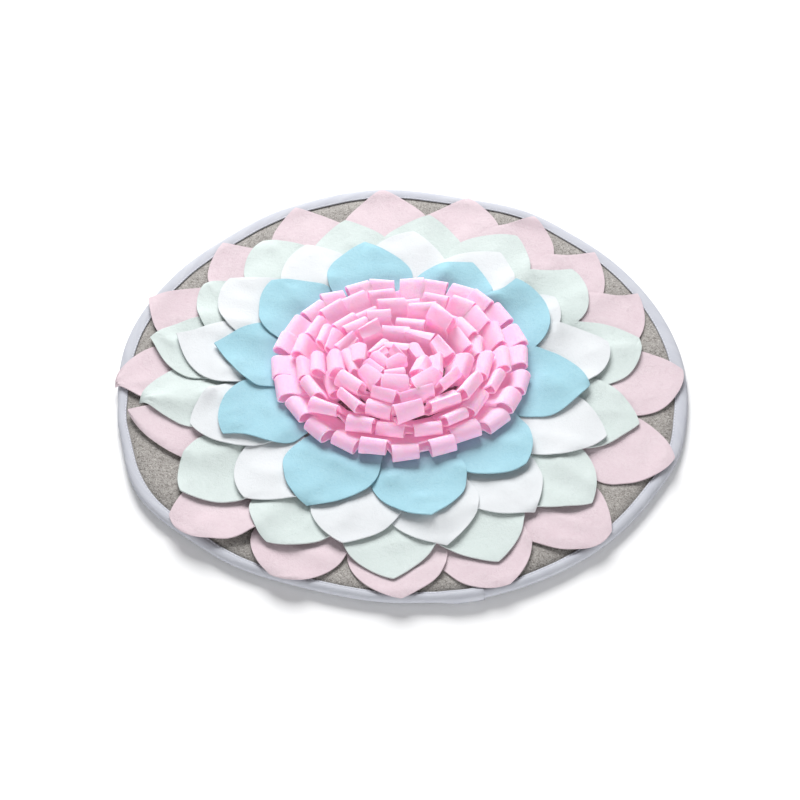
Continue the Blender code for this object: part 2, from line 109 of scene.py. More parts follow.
# --- petals ---
FLEECE = 1.1 * MM
CUT_EDGE = 0.2 * MM
# Corners sharper than these, in degrees, are eased and stay crisp in the shading.
EASED_ANGLE = 60
CRISP_ANGLE = 35
PETAL_LENGTH = 90.0 * MM
# Half the width at the belly and at the sewn end, and the belly's distance from the tip.
PETAL_WIDEST = 40.5 * MM
PETAL_ROOT_WIDTH = 26.0 * MM
PETAL_BELLY = 50.0 * MM
USUAL_SHAPE = 0.8
ROOT_POWER = 1.6
LEAST_HALF = 0.4 * MM
# The middle line bends at this share of the petal's length.
ELBOW = 0.68
# The rows of points lie closer together towards the tip by this power.
PETAL_ROWS = 20
ROW_POWER = 1.3
TIP_ROWS = 7
PETAL_COLUMNS = 14
FLOWER_CENTRE = (-2.0 * MM, -5.0 * MM)
# How far the scissors stray from the pattern: as shares of the width, in long and short waves.
CUT_STRAY = 0.05
CUT_NICK = 0.015
TURN_DEPTH = 2.6 * MM
FLAP_COLUMNS = 4
FLAP_LEAST = 3.0 * MM
FLAP_SHARE = 0.9
LIFT_SHARE = 0.62
LIFT_SCALE = 0.6
EDGE_POWER = 1.5
# The waves of a cut petal: the share of its length that has them, how long and wide they are,
# and how high the slow and the quick ones are.
WAVE_SHARE = 0.85
WAVE_LENGTH = 26 * MM
WAVE_WIDTH = 22 * MM
WAVE_LEVEL = 0.15
WAVE_SLOW = 1.5
WAVE_QUICK = 0.7
WAVE_POWER = 0.7
QUICKER = 2.3
# Every ring's petals take their waves from their own stretch of the noise.
SEED_STEP = 50
# The side of a ring's first petal that its neighbour covers, past this share of its half width.
TUCKED_SIDE = -0.15

# Angles and lifts of each petal in degrees and mm; shape is smaller for a blunter tip; turned is
# the slope from the axis of the straight line along which its free side is folded under, if it is.
Petal = namedtuple("Petal", "tip reach root point tucked free cup shape turned", defaults=(USUAL_SHAPE, 0))
Ring = namedtuple("Ring", "name seam width petals")
PINK = Ring("pink", 150 * MM, 1.0, table(
    Petal,
    (24.5, 239, 20, 1, 0, 2, 1, 0.95), (40.5, 240, 38.5, 2, 0, 2, 0, 0.95),
    (58, 241, 56.5, 5, 0, 1, 0, 0.9), (74.5, 245, 73, 2, 0, 1, 1, 0.9),
    (94.5, 250, 93.5, 2, 0, 0, 0, 1.0), (115, 244, 115, 1, 0, 1, 1, 0.95),
    (135, 240, 137, 1, 0, 3, 0, 0.95), (158.5, 249, 158, 3, 2, 6, 1, 0.95),
    (184, 250, 179, 1, 1, 2, 0, 0.85), (192.5, 239, 200, 4, 0, 7, 0, 0.8, 0.72),
    (221.5, 250, 227, 1, 2, 4, 0, 0.6), (245.5, 247, 247, 1, 3, 2, 0, 0.55),
    (270, 247, 269.5, 1, 2, 2, 1, 0.7), (290, 248, 289, 1, 1, 2, 1, 0.6),
    (313, 247, 310, 1, 2, 3, 4, 0.6), (336, 250, 335.5, 2, 1, 3, 1, 0.72),
    (0, 247, 358, 4, 2, 4, 0, 0.72),
))
MINT = Ring("mint", 126 * MM, 1.0, table(
    Petal,
    (11, 217, 9, 3, 1, 3, 0, 0.72), (40, 208, 35.5, 2, 0, 2, 1), (58.5, 211, 60, 1, 0, 1, 1),
    (82.5, 210, 83, 1, 0, 1, 0), (105, 209, 105, 1, 0, 1, 0), (127, 219, 128, 2, 1, 3, 2),
    (148, 214, 150, 2, 0, 3, 0), (169.5, 229, 168.5, 3, 1, 3, 0, 1.0), (190, 229, 187, 1, 1, 2, 0, 0.95),
    (218, 229, 216.5, 3, 1, 4, 0, 0.75), (241, 221, 241.5, 3, 2, 3, 2, 0.65),
    (268.5, 228, 267.5, 1, 1, 2, 1), (290, 224, 291, 1, 1, 3, 0), (316, 216, 318, 2, 3, 2, 4),
    (343, 212, 345, 2, 2, 3, 1),
))
WHITE = Ring("white", 102 * MM, 0.96, table(
    Petal,
    (10, 187, 8.5, 4, 2, 4, 0, 0.65), (34, 170, 33, 1, 0, 1, 0), (59, 181, 60, 1, 0, 1, 0),
    (86.5, 185, 88, 2, 0, 1, 0), (118.5, 189, 120, 1, 0, 2, 0), (143.5, 198, 146.5, 2, 0, 3, 0),
    (168.5, 205, 169.5, 4, 1, 3, 0, 1.0), (200, 191, 199, 3, 1, 3, 0, 0.7),
    (229, 195, 227, 2, 1, 3, 1, 0.72), (256.5, 200, 256, 2, 1, 2, 0), (280.5, 199, 280, 2, 1, 2, 0),
    (304, 193, 304.5, 1, 2, 3, 1), (336, 190, 337, 3, 2, 3, 0),
))
BLUE = Ring("blue", 80 * MM, 1.0, table(
    Petal,
    (46, 152, 31, 6, 4, 7, 0), (64, 152, 65, 3, 3, 1, 0), (101.5, 173, 103, 3, 0, 1, 0, 1.0),
    (137, 164, 138.5, 2, 1, 3, 2), (170, 169, 167, 4, 1, 5, 0, 1.0), (208, 170, 199, 3, 1, 5, 1, 0.85),
    (243.5, 172, 241.5, 2, 2, 3, 3, 0.7), (278, 173, 278, 2, 1, 2, 2),
    (313, 152, 313.5, 8, 8, 5, 2, 0.62), (353, 165, 356, 3, 3, 6, 0),
))
RINGS = (PINK, MINT, WHITE, BLUE)

# Soft ridges in single petals, in mm from the tip and to the side of the axis, start and end.
Crease = namedtuple("Crease", "petal from_tip side to_from_tip to_side wide high")
CREASES = {
    "pink": table(
        Crease,
        (15, 18, -24, 55, -26, 5, 3.5), (15, 18, -4, 55, -6, 5, 3.5), (14, 8, -8, 34, -14, 4, 1.8),
        (13, 10, 8, 30, 16, 4, 1.8), (12, 32, -34, 36, 30, 7, 3), (12, 12, -18, 20, -22, 4, 2),
        (11, 24, 14, 20, 34, 8, 4), (11, 52, 22, 50, 42, 9, 5), (8, 45, 4, 62, 20, 4, 2.5),
        (3, 6, -12, 6, 12, 4, 3), (4, 44, -8, 62, -8, 4, 2), (17, 54, -22, 64, -10, 4, 3),
        (16, 30, 6, 52, 22, 5, 2), (9, 20, 6, 44, 10, 5, 2.5),
    ),
    "mint": table(
        Crease,
        (6, 34, 8, 56, 12, 4, 3), (6, 34, 22, 56, 26, 4, 2), (14, 8, -16, 52, -18, 6, 4),
        (14, 8, 14, 52, 16, 6, 4), (11, 24, -18, 54, -24, 6, 2.5), (11, 22, 12, 52, 20, 6, 2.5),
        (12, 30, -20, 40, 20, 6, 1.8), (9, 24, 6, 50, 16, 6, 2),
    ),
    "white": table(Crease, (9, 30, -12, 44, 20, 7, 2), (11, 20, 10, 46, 18, 6, 2)),
    "blue": table(
        Crease,
        (7, 56, -28, 52, 26, 6, 4), (2, 28, 2, 56, -12, 6, 3), (6, 44, -10, 60, 20, 6, 2.5),
        (8, 48, -22, 44, 18, 7, 2.5), (10, 22, -8, 40, 8, 5, 2), (4, 22, -10, 40, -4, 5, 2.5),
    ),
}

# --- the looped centre ---
LOOP_FLEECE = 1.7 * MM
LOOP_SLIT = 0.8 * MM
LOOP_COLUMNS = 6
LOOP_ROWS = 24
UNSLIT_LINES = 6
LOOP_TOP = 41 * MM
FACE_SHARE = 0.4
LOOP_RISE = 0.65
# In mm and degrees: how oval a row is, how far its loops crowd to the back, and how much deeper
# they are at the front.
LOOP_OVAL = 2.0
LOOP_CROWD = 4.0
LOOP_DEEPER = 2
LOOP_SEED = 5
# The narrowest a loop is at its seam.
LEAST_ROOT = 4 * MM
# A loop bends in plan LOOP_BEND of its reach before its fold and widens over 1 / LOOP_FLARE of it.
LOOP_BEND = 0.45
LOOP_FLARE = 2.2
KNOT_STEPS = 12
# How a loop rises over what lies under it: from where on it is free, how far along it a point
# pushes up its neighbours, how strongly, and how quickly the push grows from the seam.
LOOP_FREE = 0.1
PUSH_REACH = 0.35
PUSH_STRENGTH = 1.3
PUSH_GROWTH = 5
# The rows of loops from outside in. In mm and degrees: the middle of the row, how far out its
# folds lie, how many loops it has and where the first one is, how high the folds stand, how far
# the loops reach from their seam, the width and depth of a loop, and how wild the row is.
LoopRow = namedtuple("LoopRow", "band x y out count first high reach width deep wild")
LOOP_RINGS = table(
    LoopRow,
    ("loops_outer", 0, 4, 110, 25, 100, 11, 30, 22, 10, 0.9),
    ("loops_middle", 0, 4, 91, 20, 103, 14, 27, 23, 10, 1.2),
    ("loops_centre", 0, 2, 74, 16, 98, 17, 24, 24, 12, 1.9),
    ("loops_centre", -3, -1, 59, 12, 107, 20, 21, 24, 13, 2.3),
    ("loops_centre", -6, -5, 44, 10, 90, 23, 18, 23, 13, 2.6),
    ("loops_centre", -9, -8, 29, 7, 75, 25, 15, 21, 12, 2.6),
    ("loops_centre", -12, -10, 14, 4, 40, 27, 12, 18, 10, 2.2),
)
# How much single loops differ by chance: degrees round, mm out, degrees turned, mm wide and deep, lean.
Loop = namedtuple("Loop", "angle out face width deep lean")
STRAY = Loop(1.2, 1.8, 8, 1.2, 1, 8)
# Loops that stand out from their row: how much further each one lies, turns, widens and deepens.
OddLoop = namedtuple("OddLoop", "row number out face width deep")
ODD_LOOPS = table(
    OddLoop,
    (1, 1, 0, -14, 0, 0), (1, 24, 0, -12, 0, 0), (1, 12, -4, -8, 3, 3), (2, 2, -8, 0, -7, -3),
    (2, 9, -3, 14, 2, 2), (2, 14, 4, 22, 2, 2), (2, 13, 0, 16, 0, 2), (3, 9, 3, 28, 2, 2),
    (3, 8, 2, 0, 5, 3), (3, 4, -4, -12, 2, 0), (4, 3, 4, 0, 3, 2), (4, 7, 2, 8, 4, 3),
    (5, 5, 3, -10, 4, 3), (5, 8, 2, 10, 4, 2),
)

# --- the settling of each sheet on what lies under it ---
CELL = 1.5 * MM
MAP_HALF = 270 * MM
SHEET_CLEARANCE = 0.15 * MM
LOOP_CLEARANCE = 0.25 * MM
SETTLE_ROUNDS = 160
LEAST_PULL = 0.02
DRAPE_ROUNDS = 90
DRAPE_SAG = 0.16 * MM
EASE_ROUNDS = 4
TINY = 1e-6

# --- materials ---
# Noise patterns: how fine, how many layers, how rough and how twisted.
Grain = namedtuple("Grain", "scale detail roughness distortion", defaults=(0.0,))
FLEECE_FIBRES = Grain(1500, 3, 0.6)
FLEECE_CRINKLE = Grain(620, 3, 0.7, 1.5)
FLEECE_TUFTS = Grain(330, 3, 0.65, 0.6)
FLEECE_PATCHES = Grain(55, 3, 0.6, 0.3)
FLEECE_CLOUDS = Grain(18, 2, 0.5)
FELT_FIBRES = Grain(560, 3, 0.7, 1.2)
FELT_FLECKS = Grain(380, 2, 0.6, 2.0)
FELT_CLOUDS = Grain(30, 2, 0.5)
TAPE_WEAR = Grain(260, 3, 0.6)
TAPE_CLOUDS = Grain(60, 2, 0.5)
TAPE_THREAD = 0.55 * MM
SPECULAR = 0.08
SHEEN_ROUGHNESS = 0.5
# Light let through: the colour and strength of a painted glow that stands in for it, and how far it
# scatters in red, green and blue.
PAINTED_GLOW_COLOUR = (1.0, 0.5, 0.74, 1.0)
PAINTED_GLOW_STRENGTH = 0.12
GLOW_SPREAD = (1.0, 0.25, 0.45)
GLOW_DEPTH = 8 * MM
# Each cloth's tones from light to dark as screen values out of 255, its bumps' strength and
# depth, its sheen, and how much light it lets through, which also sets the strength of its painted glow.
Cloth = namedtuple("Cloth", "name pattern tones bump depth sheen glow", defaults=(0.0, 0.0))
CLOTHS = {
    "pink": Cloth("pink_fleece", "fleece", ((220, 205, 210), (207, 185, 193)), 0.8, 0.8 * MM),
    "mint": Cloth("mint_fleece", "fleece", ((210, 219, 217), (198, 210, 206)), 0.8, 0.8 * MM),
    "white": Cloth("white_fleece", "fleece", ((220, 223, 225), (216, 219, 222)), 0.6, 0.8 * MM),
    "blue": Cloth("blue_fleece", "fleece", ((166, 206, 217), (147, 193, 208)), 0.8, 0.8 * MM),
    # The loops let light through and also carry a painted glow for it.
    "loops": Cloth("loops_fleece", "fleece", ((255, 203, 225), (253, 187, 214)), 0.8, 0.8 * MM, glow=0.9),
    "felt": Cloth("base_felt", "felt", ((198, 194, 189), (166, 162, 158), (120, 115, 111)), 0.9, 1.0 * MM),
    "tape": Cloth("binding_tape", "tape", ((197, 199, 206), (188, 190, 199)), 0.35, 0.25 * MM, sheen=0.05),
    "thread": Cloth("stitching_thread", "tape", ((236, 237, 242), (218, 220, 229)), 0.3, 0.1 * MM),
}

# --- room ---
FLOOR_SIZE = 8.0
FLOOR_COLOUR = (0.97, 0.97, 0.975, 1)
SKY_COLOUR = (0.97, 0.98, 1.0, 1.0)
SKY_STRENGTH = 0.24
# Round lights aimed at the origin, with their size in metres and power in watts.
Softbox = namedtuple("Softbox", "name place size power")
SOFTBOXES = table(
    Softbox,
    ("key_softbox", (-0.3, 1.7, 1.45), 1.6, 82),
    ("front_softbox", (0.3, -1.9, 0.6), 1.2, 20),
)


# --- small helpers ---


def polar(radius, angle, height=0.0):
    turn = math.radians(angle)
    return (radius * math.cos(turn), radius * math.sin(turn), height)


def periodic(rows, angle):
    """Blend smoothly between (angle, value) rows that go once round the mat."""
    first, last = rows[0], rows[-1]
    around = ((last[0] - 360, last[1]), *rows, (first[0] + 360, first[1]))
    turn = angle % 360
    for (start, low), (end, high) in zip(around, around[1:]):
        if turn <= end:
            part = (turn - start) / (end - start)
            return low + (high - low) * (1 - math.cos(math.pi * part)) / 2


def rim_radius(angle):
    return MAT_RADIUS + periodic(RIM_PLACES, angle) * MM


def rim_foot(angle):
    return TAPE_THICKNESS + GAP + periodic(RIM_LIFTS, angle) * MM


def tape_cover(angle):
    return periodic(TAPE_COVERS, angle) * MM


def rough(x, y, z):
    """Smooth noise from about -1 to 1, the same every time."""
    return noise.noise(Vector((x, y, z)))


def run_along(points):
    """The distance along a line of points, at each of them."""
    return np.concatenate([[0], np.cumsum(np.linalg.norm(np.diff(points, axis=0), axis=1))])


def aimed(place, aim):
    return (Vector(aim) - Vector(place)).to_track_quat("-Z", "Y").to_euler()


def apply_all(piece):
    bpy.ops.object.select_all(action="DESELECT")
    bpy.context.view_layer.objects.active = piece
    piece.select_set(True)
    for modifier in list(piece.modifiers):
        bpy.ops.object.modifier_apply(modifier=modifier.name)


def new_piece(name, maker, material):
    mesh = bpy.data.meshes.new(name)
    maker.to_mesh(mesh)
    maker.free()
    mesh.materials.append(material)
    piece = bpy.data.objects.new(name, mesh)
    bpy.context.scene.collection.objects.link(piece)
    return piece


def finish_cloth(piece, thickness):
    """Give a sheet its thickness, ease its cut edge and round it over."""
    wall = piece.modifiers.new("Cloth thickness", "SOLIDIFY")
    wall.thickness = thickness
    wall.offset = 0.0
    edge = piece.modifiers.new("Cut edge", "BEVEL")
    edge.width = CUT_EDGE
    edge.limit_method = "ANGLE"
    edge.angle_limit = math.radians(EASED_ANGLE)
    fine = piece.modifiers.new("Rounding", "SUBSURF")
    fine.levels = 1
    fine.render_levels = 1
    apply_all(piece)
    bpy.ops.object.shade_smooth_by_angle(angle=math.radians(CRISP_ANGLE))


def net_mesh(net, keep=None):
    """A bmesh of quads through a net of points, with a UV map in metres along the cloth."""
    rows, columns = net.shape[:2]
    sheet = bmesh.new()
    uv = sheet.loops.layers.uv.new("UVMap")
    along = np.zeros((rows, columns))
    across = np.zeros((rows, columns))
    along[1:] = np.cumsum(np.linalg.norm(np.diff(net, axis=0), axis=2), axis=0)
    across[:, 1:] = np.cumsum(np.linalg.norm(np.diff(net, axis=1), axis=2), axis=1)
    verts = [[sheet.verts.new(point) for point in row] for row in net]
    for row in range(rows - 1):
        for column in range(columns - 1):
            if keep and not keep(row, column):
                continue
            corners = ((row, column), (row, column + 1), (row + 1, column + 1), (row + 1, column))
            face = sheet.faces.new([verts[r][c] for r, c in corners])
            for loop, (r, c) in zip(face.loops, corners):
                loop[uv].uv = (across[r, c], along[r, c])
    return sheet


# --- materials ---


def srgb(red, green, blue):
    """A colour as the shader wants it, from its screen values out of 255."""
    def straight(value):
        value /= 255
        return value / 12.92 if value <= 0.04045 else ((value + 0.055) / 1.055) ** 2.4
    return (straight(red), straight(green), straight(blue), 1.0)


class Nodes:
    """Short forms for making and joining nodes in one tree."""

    def __init__(self, tree):
        self.tree = tree

    def add(self, kind, **values):
        node = self.tree.nodes.new(kind)
        for key, value in values.items():
            setattr(node, key, value)
        return node

    def join(self, source, target):
        self.tree.links.new(source, target)

    def join_all(self, targets, *sources):
        for source, target in zip(sources, targets):
            self.join(source, target)

    def math(self, operation, *values):
        node = self.add("ShaderNodeMath", operation=operation)
        for socket, value in zip(node.inputs, values):
            if hasattr(value, "node"):
                self.join(value, socket)
            else:
                socket.default_value = value
        return node.outputs[0]

    def blend(self, a, part_a, b, part_b):
        """Add two values, each times its own part."""
        return self.math("ADD", self.math("MULTIPLY", a, part_a), self.math("MULTIPLY", b, part_b))

    def noise(self, place, grain):
        node = self.add("ShaderNodeTexNoise")
        for label, value in zip(("Scale", "Detail", "Roughness", "Distortion"), grain):
            node.inputs[label].default_value = value
        self.join(place, node.inputs["Vector"])
        return node.outputs["Fac"]

    def spread(self, value, low, high, to_low=0.0, to_high=1.0):
        """Stretch values from low to high onto to_low to to_high, and hold them in there."""
        node = self.add("ShaderNodeMapRange")
        for label, limit in zip(("From Min", "From Max", "To Min", "To Max"), (low, high, to_low, to_high)):
            node.inputs[label].default_value = limit
        self.join(value, node.inputs["Value"])
        return node.outputs["Result"]

    def mix(self, share, first, second):
        node = self.add("ShaderNodeMix", data_type="RGBA")
        colours = [socket for socket in node.inputs if socket.type == "RGBA"]
        self.join_all((node.inputs[0], *colours), share, first, second)
        return [socket for socket in node.outputs if socket.type == "RGBA"][0]


def make_group(name, tones):
    """A group that turns a cloth's tones into its colour, height and roughness."""
    tree = bpy.data.node_groups.new(name, "ShaderNodeTree")
    for label in tones:
        tree.interface.new_socket(label, in_out="INPUT", socket_type="NodeSocketColor")
    for label, kind in (("Colour", "Color"), ("Height", "Float"), ("Roughness", "Float")):
        tree.interface.new_socket(label, in_out="OUTPUT", socket_type="NodeSocket" + kind)
    nodes = Nodes(tree)
    return tree, nodes, nodes.add("NodeGroupInput").outputs, nodes.add("NodeGroupOutput").inputs


def fleece_group():
    """Brushed fleece: soft mottling, small pilled tufts, the nap's height and painted shade in its small
    crinkles.
    """
    tree, nodes, tones, out = make_group("Brushed fleece", ("Colour", "Deep colour"))
    place = nodes.add("ShaderNodeTexCoord").outputs["Object"]
    fine = nodes.noise(place, FLEECE_FIBRES)
    tufts = nodes.noise(place, FLEECE_TUFTS)
    patches = nodes.noise(place, FLEECE_PATCHES)
    clouds = nodes.noise(place, FLEECE_CLOUDS)
    crinkle = nodes.noise(place, FLEECE_CRINKLE)
    height = nodes.blend(fine, 0.35, tufts, 0.65)
    height = nodes.math("ADD", height, nodes.math("MULTIPLY", patches, 0.5))
    shade = nodes.blend(patches, 0.5, clouds, 0.5)
    shade = nodes.blend(shade, 0.6, tufts, 0.4)
    share = nodes.spread(shade, 0.36, 0.64)
    # Darker specks in patches are painted shade in the nap's small crinkles, where the height also dips a
    # little.
    crinkle_patches = nodes.spread(patches, 0.44, 0.6)
    painted_crinkle_shade = nodes.math("MULTIPLY", nodes.spread(crinkle, 0.52, 0.38), crinkle_patches)
    share = nodes.math("SUBTRACT", share, nodes.math("MULTIPLY", painted_crinkle_shade, 0.6))
    share = nodes.spread(share, -0.6, 1.0)
    height = nodes.math("SUBTRACT", height, nodes.math("MULTIPLY", painted_crinkle_shade, 0.15))
    colour = nodes.mix(share, tones["Deep colour"], tones["Colour"])
    nodes.join_all(out, colour, height, nodes.spread(tufts, 0.3, 0.7, 0.85, 1.0))
    return tree


def felt_group():
    """Needled felt: mixed light and dark fibres."""
    tree, nodes, tones, out = make_group("Needled felt", ("Light fibre", "Middle fibre", "Dark fibre"))
    place = nodes.add("ShaderNodeTexCoord").outputs["Object"]
    fibres = nodes.noise(place, FELT_FIBRES)
    flecks = nodes.noise(place, FELT_FLECKS)
    clouds = nodes.noise(place, FELT_CLOUDS)
    colour = nodes.mix(nodes.spread(flecks, 0.5, 0.62), tones["Middle fibre"], tones["Light fibre"])
    colour = nodes.mix(nodes.spread(fibres, 0.5, 0.38), colour, tones["Dark fibre"])
    colour = nodes.mix(nodes.spread(clouds, 0.3, 0.7, 0.0, 0.18), colour, tones["Dark fibre"])
    height = nodes.blend(fibres, 0.6, flecks, 0.6)
    nodes.join_all(out, colour, height, nodes.spread(fibres, 0.3, 0.7, 0.88, 1.0))
    return tree


def tape_group():
    """Woven tape: crossing threads that follow the tape, from its UV map in metres."""
    tree, nodes, tones, out = make_group("Woven tape", ("Colour", "Deep colour"))
    place = nodes.add("ShaderNodeTexCoord").outputs["UV"]
    parts = nodes.add("ShaderNodeSeparateXYZ")
    nodes.join(place, parts.inputs[0])
    threads = 2 * math.pi / TAPE_THREAD
    warp = nodes.math("SINE", nodes.math("MULTIPLY", parts.outputs["X"], threads))
    weft = nodes.math("SINE", nodes.math("MULTIPLY", parts.outputs["Y"], threads))
    weave = nodes.math("MULTIPLY", warp, weft)
    wear = nodes.noise(place, TAPE_WEAR)
    clouds = nodes.noise(place, TAPE_CLOUDS)
    share = nodes.blend(clouds, 0.7, weave, 0.08)
    share = nodes.spread(share, 0.2, 0.5)
    height = nodes.math("ADD", nodes.math("MULTIPLY", weave, 0.35), wear)
    colour = nodes.mix(share, tones["Deep colour"], tones["Colour"])
    nodes.join_all(out, colour, height, nodes.spread(wear, 0.3, 0.7, 0.85, 1.0))
    return tree


def cloth_material(cloth, group):
    """A cloth's material: the group's colour, roughness and height on one shader, and a painted glow for
    the light it lets through.
    """
    material = bpy.data.materials.new(cloth.name)
    material.use_nodes = True
    nodes = Nodes(material.node_tree)
    shader = material.node_tree.nodes["Principled BSDF"].inputs
    # Subsurface scattering lets light through the cloth; the emission set here is a painted glow for that
    # light.
    for label, value in (
        ("Sheen Weight", cloth.sheen), ("Sheen Roughness", SHEEN_ROUGHNESS),
        ("Specular IOR Level", SPECULAR), ("Subsurface Weight", cloth.glow),
        ("Subsurface Radius", GLOW_SPREAD), ("Subsurface Scale", GLOW_DEPTH),
        ("Emission Color", PAINTED_GLOW_COLOUR), ("Emission Strength", PAINTED_GLOW_STRENGTH * cloth.glow),
    ):
        shader[label].default_value = value
    inner = nodes.add("ShaderNodeGroup", node_tree=group)
    for socket, tone in zip(inner.inputs, cloth.tones):
        socket.default_value = srgb(*tone)
    rise = nodes.add("ShaderNodeBump")
    rise.inputs["Strength"].default_value = cloth.bump
    rise.inputs["Distance"].default_value = cloth.depth
    nodes.join(inner.outputs["Colour"], shader["Base Color"])
    nodes.join(inner.outputs["Roughness"], shader["Roughness"])
    nodes.join(inner.outputs["Height"], rise.inputs["Height"])
    nodes.join(rise.outputs["Normal"], shader["Normal"])
    return material


def make_materials():
    groups = {"fleece": fleece_group(), "felt": felt_group(), "tape": tape_group()}
    return {key: cloth_material(cloth, groups[cloth.pattern]) for key, cloth in CLOTHS.items()}


# --- settling ---


MAP_SIZE = 2 * round(MAP_HALF / CELL) + 1


def empty_map():
    return np.full((MAP_SIZE, MAP_SIZE), -1.0)


def sheet_cells(points, triangles):
    """The map cells under a sheet, and for each the triangle's corners and their shares."""
    cells, corners, shares = [], [], []
    place = (points[:, :2] + MAP_HALF) / CELL
    for triangle in triangles:
        a, b, c = place[list(triangle)]
        low = np.floor(np.min((a, b, c), axis=0)).astype(int)
        high = np.ceil(np.max((a, b, c), axis=0)).astype(int)
        column, row = np.meshgrid(np.arange(low[0], high[0] + 1), np.arange(low[1], high[1] + 1))
        area = (b[0] - a[0]) * (c[1] - a[1]) - (b[1] - a[1]) * (c[0] - a[0])
        if abs(area) < TINY:
            continue
        share_b = ((column - a[0]) * (c[1] - a[1]) - (row - a[1]) * (c[0] - a[0])) / area
        share_c = ((b[0] - a[0]) * (row - a[1]) - (b[1] - a[1]) * (column - a[0])) / area
        share = np.stack([1 - share_b - share_c, share_b, share_c], axis=-1)
        inside = share.min(axis=-1) > -TINY
        if inside.any():
            cells.append((row[inside] * MAP_SIZE + column[inside]).ravel())
            shares.append(share[inside])
            corners.append(np.tile(triangle, (inside.sum(), 1)))
    return np.concatenate(cells), np.concatenate(corners), np.concatenate(shares)


def widened(heights):
    """Each cell takes the highest of itself and its eight neighbours."""
    padded = np.pad(heights, 1, constant_values=-1.0)
    shifts = [padded[i:i + MAP_SIZE, j:j + MAP_SIZE] for i in range(3) for j in range(3)]
    return np.max(shifts, axis=0)


def top_map(points, fitted, thickness):
    """The height map of a sheet's upper side."""
    cells, corners, shares = fitted
    heights = empty_map().ravel()
    level = (points[corners, 2] * shares).sum(axis=1) + thickness / 2
    np.maximum.at(heights, cells, level)
    return widened(heights.reshape(MAP_SIZE, MAP_SIZE))


def raise_clear(lowest, fitted, below, loose):
    """Raise a sheet's loose points just enough for every cell of it to clear a height map."""
    need = (below + FLEECE / 2 + SHEET_CLEARANCE).ravel()
    cells, corners, shares = fitted
    pull = shares * loose.ravel()[corners]
    scale = (pull ** 2).sum(axis=1)
    held = scale > LEAST_PULL
    cells, corners, shares, pull, scale = (part[held] for part in (cells, corners, shares, pull, scale))
    if not len(cells):
        return lowest
    height = lowest.copy()
    for _ in range(SETTLE_ROUNDS):
        short = np.maximum(need[cells] - (height[corners] * shares).sum(axis=1), 0)
        if short.max() < TINY:
            break
        lift = np.zeros_like(height)
        np.maximum.at(lift, corners, (short / scale)[:, None] * pull)
        height += lift
    return height


def drape(lowest, loose, rounds, sag):
    """Let a sheet hang taut over what it lies on, sagging a little between."""
    floor = lowest.reshape(loose.shape)
    height = floor.copy()
    for _ in range(rounds):
        net = np.pad(height, 1, mode="reflect", reflect_type="odd")
        mean = (net[2:, 1:-1] + net[:-2, 1:-1] + net[1:-1, 2:] + net[1:-1, :-2]) / 4
        height = np.where(loose, np.maximum(floor, mean - sag), height)
    return height.ravel()


def settle(points, fitted, below, loose):
    """Lay a sheet on a height map, bridging the hollows in it as fleece does."""
    column, row = np.round((points[:, :2].T + MAP_HALF) / CELL).astype(int)
    height = below[row, column] + FLEECE / 2 + SHEET_CLEARANCE
    height = raise_clear(height, fitted, below, loose)
    return drape(height, loose, DRAPE_ROUNDS, DRAPE_SAG)


# --- base and binding ---


def build_felt(material):
    """The felt disc, gently uneven, with its rim in the binding."""
    felt = bmesh.new()
    middle = felt.verts.new((0, 0, 0))
    rows = []
    for radius in (*FELT_RINGS, None):
        row = []
        for step in range(FELT_STEPS):
            angle = 360 * step / FELT_STEPS
            edge = rim_radius(angle) - TAPE_BULGE
            here = edge if radius is None else min(radius * MM, edge - RIM_BAND)
            span = edge - RIM_BAND - FLAT_RADIUS
            rise = rim_foot(angle) * np.clip((here - FLAT_RADIUS) / span, 0, 1)
            row.append(felt.verts.new(polar(here, angle, rise)))
        rows.append(row)
    for a, b in zip(rows[0], rows[0][1:] + rows[0][:1]):
        felt.faces.new((middle, a, b))
    for low, high in zip(rows, rows[1:]):
        for a, b, c, d in zip(low, high, high[1:] + high[:1], low[1:] + low[:1]):
            felt.faces.new((a, b, c, d))
    piece = new_piece("felt_base", felt, material)
    wall = piece.modifiers.new("Felt thickness", "SOLIDIFY")
    wall.thickness = FELT_THICKNESS
    wall.offset = 1.0
    apply_all(piece)
    piece.data.shade_smooth()
    return piece


def tape_wander(along):
    """How far the tape's inner edge and its seam stray, by the degrees from the tape's start."""
    return TAPE_WANDER * rough(along * 0.2, 4.0, 9.0)


def tape_outline(cover, spread, pucker):
    """The folded tape's outline: inward from the felt's edge, and up from its under side."""
    outer = TAPE_THICKNESS + GAP + spread
    inner = GAP + spread
    top = FELT_THICKNESS
    swell = TAPE_SWELL * pucker
    inset = cover - STITCH_INSET
    outside = [
        (cover, -inner - 0.25 * MM), (cover - 0.4 * MM, -outer + 0.2 * MM), (inset + 0.9 * MM, -outer),
        (inset, -outer + 0.45 * MM), (inset - 0.9 * MM, -outer), (cover / 2, -outer - swell),
        (1.4 * MM, -outer), (-0.5 * MM - spread, -outer + 0.7 * MM), (-TAPE_BULGE - spread, top * 0.28),
        (-TAPE_BULGE - 0.3 * MM - spread, top * 0.6), (-1.0 * MM - spread, top + outer - 0.9 * MM),
        (0.9 * MM, top + outer + 0.1 * MM), (cover * 0.45, top + outer + 0.25 * MM + swell),
        (inset - 1.3 * MM, top + outer + 0.1 * MM), (inset, top + outer - 0.5 * MM),
        (inset + 0.9 * MM, top + outer - 0.05 * MM), (cover - 0.3 * MM, top + outer - 0.3 * MM),
        (cover, top + inner + 0.25 * MM),
    ]
    rim = cover - 0.2 * MM
    inside = [(rim, top + inner), (-inner, top + inner), (-inner, -inner), (rim, -inner)]
    return outside + inside


